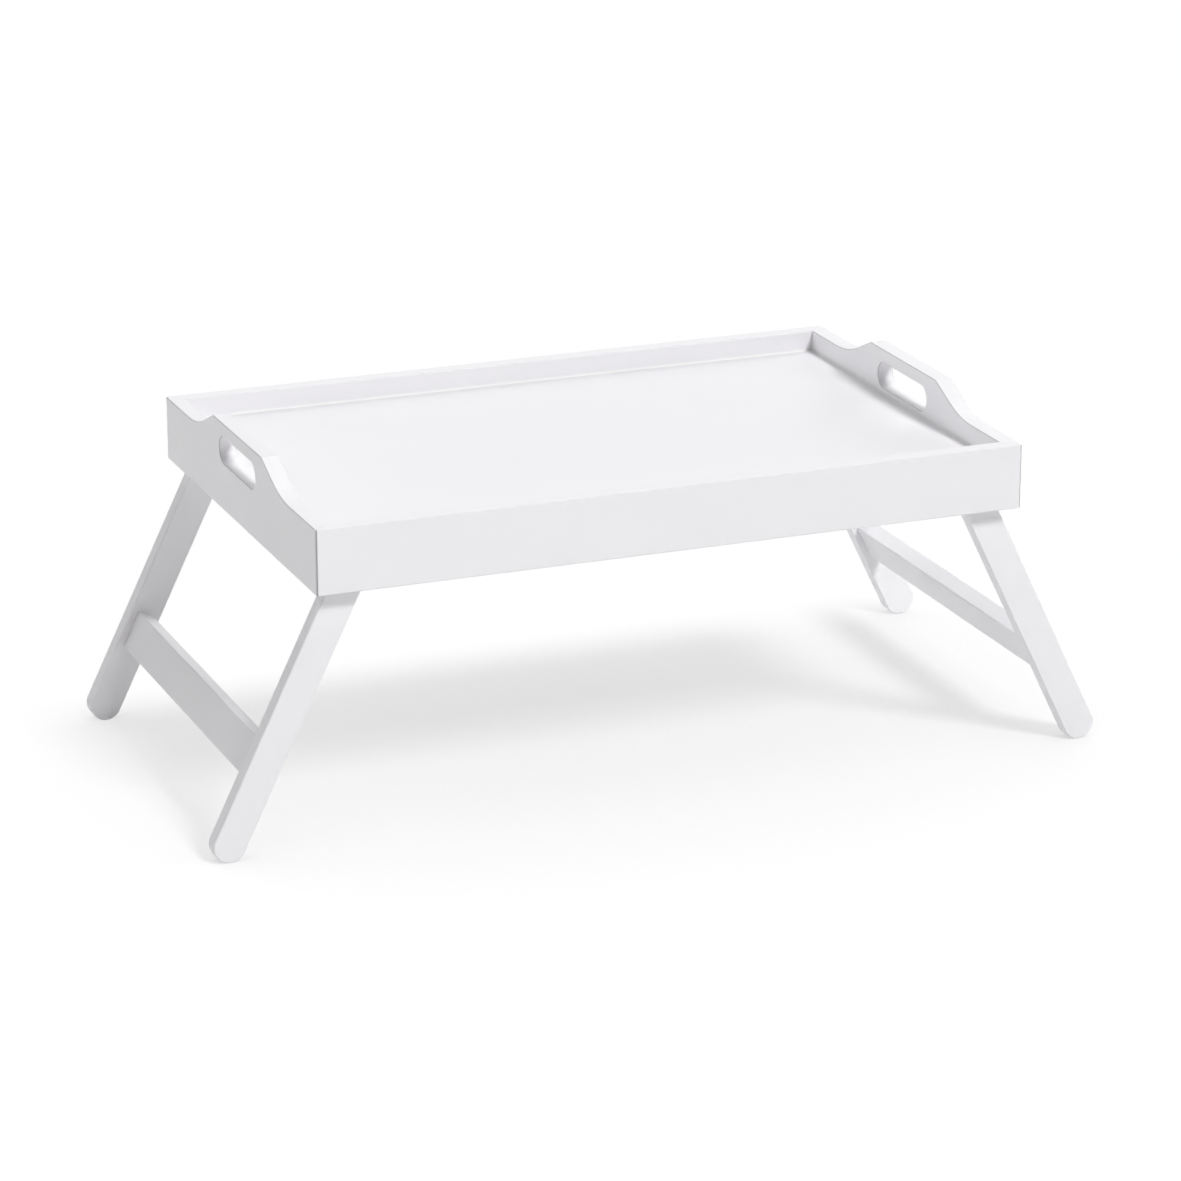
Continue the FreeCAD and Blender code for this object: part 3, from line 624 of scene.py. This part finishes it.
blades = [make_blade(0), make_blade(math.pi / 2)]
for blade in blades:
    cut = turned.modifiers.new("cross_recess", "BOOLEAN")
    cut.operation = "DIFFERENCE"
    cut.solver = "EXACT"
    cut.object = blade
evaluated = turned.evaluated_get(bpy.context.evaluated_depsgraph_get())
screw_mesh = bpy.data.meshes.new_from_object(evaluated)
for spare in (*blades, turned):
    bpy.data.objects.remove(spare)
crisp = bmesh.new()
crisp.from_mesh(screw_mesh)
for edge in crisp.edges:
    edge.smooth = edge.calc_face_angle(0) < CRISP
for face in crisp.faces:
    face.smooth = True
crisp.to_mesh(screw_mesh)
crisp.free()
print(f"screw with its recess: {len(screw_mesh.polygons)} faces")

# %% [markdown]
# The four screws are the same piece, turned so that each head looks to the middle of the tray. No
# one lines up the recesses of screws that they drive, so each is turned by its own angle.

# %% Drive the four screws
RECESS_TURNS = {"left_front": 14, "left_rear": 62, "right_front": 38, "right_rear": 81}
for corner in CORNERS:
    side = -1 if corner.startswith("left") else 1
    front = corner.endswith("front")
    copy = screw_mesh.copy()
    inwards = Matrix.Rotation(math.radians(-90 if front else 90), 4, "X")
    spin = Matrix.Rotation(math.radians(RECESS_TURNS[corner]), 4, "Z")
    seat = Vector((side * PIVOT_X, -INSIDE_Y if front else INSIDE_Y, PIVOT_Z))
    copy.transform(Matrix.Translation(seat) @ inwards @ spin)
    screw = bpy.data.objects.new(f"pan_head_screw_{corner}", copy)
    bpy.context.collection.objects.link(screw)
    screw.data.materials.clear()
    screw.data.materials.append(zinc)
    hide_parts(f"pivot_screw_{corner}")
    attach(screw, "tray")
    print(f"{screw.name} at x {seat.x / MM:.1f}, y {seat.y / MM:.1f} mm")

# %% [markdown]
# ## The studio floor
# The tray stands on a wide matt white table. In a catalogue picture the retoucher cuts the object
# out and keeps only a pale copy of its shadow, which ends just behind the tray. Brighter lamps
# could make the shadow so pale, but they would wash out the tray as well. So the floor is two
# sheets. The lower one is the real table: the camera doesn't see it, and it throws light up at the
# object. It also glows a little by itself, which is painted light that fills in from below. The
# upper one is the retouched table, and
# nothing but the camera sees it. It glows almost white, less so where ambient occlusion finds the
# tray close above it. A lamp of its own adds the last part of the light, which the tray's shadow
# takes away again.

# %% Lay the floor
TABLE_GLOW = 0.086  # of white, painted light: the real table glows by itself and throws it up at the object
GLOW = 0.56  # of white, the same everywhere
OPEN_GLOW = 0.3  # of white, less under the tray
SHEET_GREY = 0.15  # what the sheet gives back of its own lamp's light
SHADOW_FADES = (0.115, 0.2)  # m behind the middle of the tray, from a full shadow to none
SHEET_REACH = 15  # m from the middle to a side, so that no edge comes into the picture
LOWERED = 0.2 * MM  # the real table lies this far under the retouched one
OCCLUSION_REACH = 2  # m
TABLE_CLOUDS = 400  # mm


def lay_sheet(name, height):
    """Lay one wide sheet and give back it, its empty material graph and its coordinates."""
    data = bpy.data.meshes.new(name)
    corners = [(x * SHEET_REACH, y * SHEET_REACH, height)
               for x, y in ((-1, -1), (1, -1), (1, 1), (-1, 1))]
    data.from_pydata(corners, [], [(0, 1, 2, 3)])
    sheet = bpy.data.objects.new(name, data)
    bpy.context.collection.objects.link(sheet)
    finish = bpy.data.materials.new(name)
    finish.use_nodes = True
    finish.node_tree.nodes.clear()
    data.materials.append(finish)
    return sheet, finish.node_tree, add(finish.node_tree, "ShaderNodeTexCoord").outputs["Object"]


table, tree, place = lay_sheet("matt_white_table", -LOWERED)
cloud = add(tree, "ShaderNodeTexNoise", {"Vector": place, "Scale": waves(TABLE_CLOUDS)})
white = add(tree, "ShaderNodeMix", {
    0: cloud.outputs[0], 6: linear("#EAEAEA"), 7: linear("#E6E6E6"),
}, data_type="RGBA").outputs[2]
matt = add(tree, "ShaderNodeBsdfDiffuse", {"Color": white})
# painted light: the hidden table glows a little by itself, as a fill from below
lit = add(tree, "ShaderNodeEmission", {"Strength": TABLE_GLOW})
both = add(tree, "ShaderNodeAddShader", {0: matt.outputs[0], 1: lit.outputs[0]})
add(tree, "ShaderNodeOutputMaterial", {"Surface": both.outputs[0]})
table.visible_camera = False

retouched, tree, place = lay_sheet("retouched_table", 0)
grey = add(tree, "ShaderNodeBsdfDiffuse", {"Color": [SHEET_GREY] * 3 + [1]})
occlusion = add(tree, "ShaderNodeAmbientOcclusion", {"Distance": OCCLUSION_REACH}, samples=8)
glow = add(tree, "ShaderNodeMath", {0: occlusion.outputs["AO"], 1: OPEN_GLOW, 2: GLOW},
           operation="MULTIPLY_ADD")
glow = add(tree, "ShaderNodeEmission", {"Strength": glow.outputs[0]})
shadowed = add(tree, "ShaderNodeAddShader", {0: grey.outputs[0], 1: glow.outputs[0]})
parts = add(tree, "ShaderNodeSeparateXYZ", {0: place})
fade = add(tree, "ShaderNodeMapRange", {
    "Value": parts.outputs["Y"], "From Min": SHADOW_FADES[0], "From Max": SHADOW_FADES[1],
}, interpolation_type="SMOOTHSTEP")
blank = add(tree, "ShaderNodeEmission", {"Strength": 1})
blend = add(tree, "ShaderNodeMixShader", {
    0: fade.outputs[0], 1: shadowed.outputs[0], 2: blank.outputs[0],
})
add(tree, "ShaderNodeOutputMaterial", {"Surface": blend.outputs[0]})
for ray in ("diffuse", "glossy", "transmission", "shadow"):
    setattr(retouched, f"visible_{ray}", False)
print("two sheets,", table.dimensions.x, "m wide")

# %% [markdown]
# ## The light
# A large soft box stands in front and a little to the right, half-way up. It lights the long
# side, leaves the left end in shade and throws the shadow of the tray backwards. A second one
# stands low at the back right. It reaches under the tray, on to the rails and the inner sides of
# the legs. A third hangs high behind and lifts the rims, and a weak fourth stands at the back left
# and keeps the ends from going grey. None is so strong that a side of the tray goes plain white.
#
# Each is a sun lamp, which is a soft box so far away that it lights near and far parts alike. Its
# angle is how wide the box looks from the tray: a wider one gives softer shadows. Its level is the
# share of plain white that it gives a white card that faces it. The fifth lamp stands where the
# first one does and draws the retouched shadow: light linking lets it light the retouched sheet
# and nothing else, and keeps the other four off that sheet. Three more weak lamps stand for white
# fill cards held close to the right leg frame, the right end board and the left stretcher. A sun
# lamp reaches everything, so each is linked to those pieces alone. The first five levels were
# fitted by weighing pictures with one lamp each against the photograph. The fill cards' levels
# were set one by one.
#
# The fill cards have a price. With them the fine grain of the picture differs a little from run
# to run. To avoid that, leave out the three fill card lines: the right end's inner wall and the
# left stretcher's top then come out darker.

# %% Set up the lights
FRONT = (21, 44, 14)
LOW_REAR = (130, 18, 20)
HIGH_REAR = (150, 60, 14)
LEFT_REAR = (-135, 40, 30)
LEFT_FILL = (-95, 8, 40)
RIGHT_FILL = (90, 6, 20)
ROOM = 0.27  # share of plain white that the white room around gives the object


def add_light(name, where, level, only=()):
    """Add a soft box: turned from the front to the right, raised, and wide, all in degrees.

    It lights the pieces in only, or everything but the retouched sheet when there are none.
    """
    turn, height, width = (math.radians(angle) for angle in where)
    lamp = bpy.data.lights.new(name, "SUN")
    lamp.energy = level * math.pi
    lamp.angle = width
    box = bpy.data.objects.new(name, lamp)
    flat = math.cos(height)
    towards = Vector((math.sin(turn) * flat, -math.cos(turn) * flat, math.sin(height)))
    box.rotation_euler = towards.to_track_quat("Z", "Y").to_euler()
    box.location = towards * 2
    bpy.context.collection.objects.link(box)
    lit = bpy.data.collections.new(f"lit_by_{name}")
    for piece in only or (retouched,):
        lit.objects.link(piece)
    box.light_linking.receiver_collection = lit
    if not only:
        lit.collection_objects[0].light_linking.link_state = "EXCLUDE"
    print(f"{name}: {level} of white, {where[2]} degrees wide")


add_light("front_soft_box", FRONT, 0.605)
add_light("low_rear_soft_box", LOW_REAR, 0.26)
add_light("high_rear_soft_box", HIGH_REAR, 0.218)
add_light("left_rear_soft_box", LEFT_REAR, 0.16)
add_light("shadow_soft_box", FRONT, 1.43, only=(retouched,))
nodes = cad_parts
right_frame = [nodes[name] for name in ("right_front_leg", "right_rear_leg", "right_stretcher")]
add_light("left_fill_card", LEFT_FILL, 0.12, only=right_frame)
add_light("left_fill_card_for_wall", LEFT_FILL, 0.2, only=(nodes["right_end_panel"],))
add_light("right_fill_card", RIGHT_FILL, 0.25, only=(nodes["left_stretcher"],))

world = bpy.data.worlds.new("white_room")
world.use_nodes = True
tree = world.node_tree
tree.nodes.clear()
rays = add(tree, "ShaderNodeLightPath")
seen = add(tree, "ShaderNodeMath", {
    0: rays.outputs["Is Camera Ray"], 1: rays.outputs["Is Glossy Ray"],
}, operation="MAXIMUM")
seen = add(tree, "ShaderNodeMath", {
    0: seen.outputs[0], 1: rays.outputs["Is Transmission Ray"],
}, operation="MAXIMUM")
strength = add(tree, "ShaderNodeMapRange", {"Value": seen.outputs[0], "To Min": ROOM, "To Max": 1})
sky = add(tree, "ShaderNodeBackground", {"Strength": strength.outputs[0]})
add(tree, "ShaderNodeOutputWorld", {"Surface": sky.outputs[0]})
bpy.context.scene.world = world
bpy.context.scene.view_settings.view_transform = "Standard"
print(f"room at {ROOM} of white")
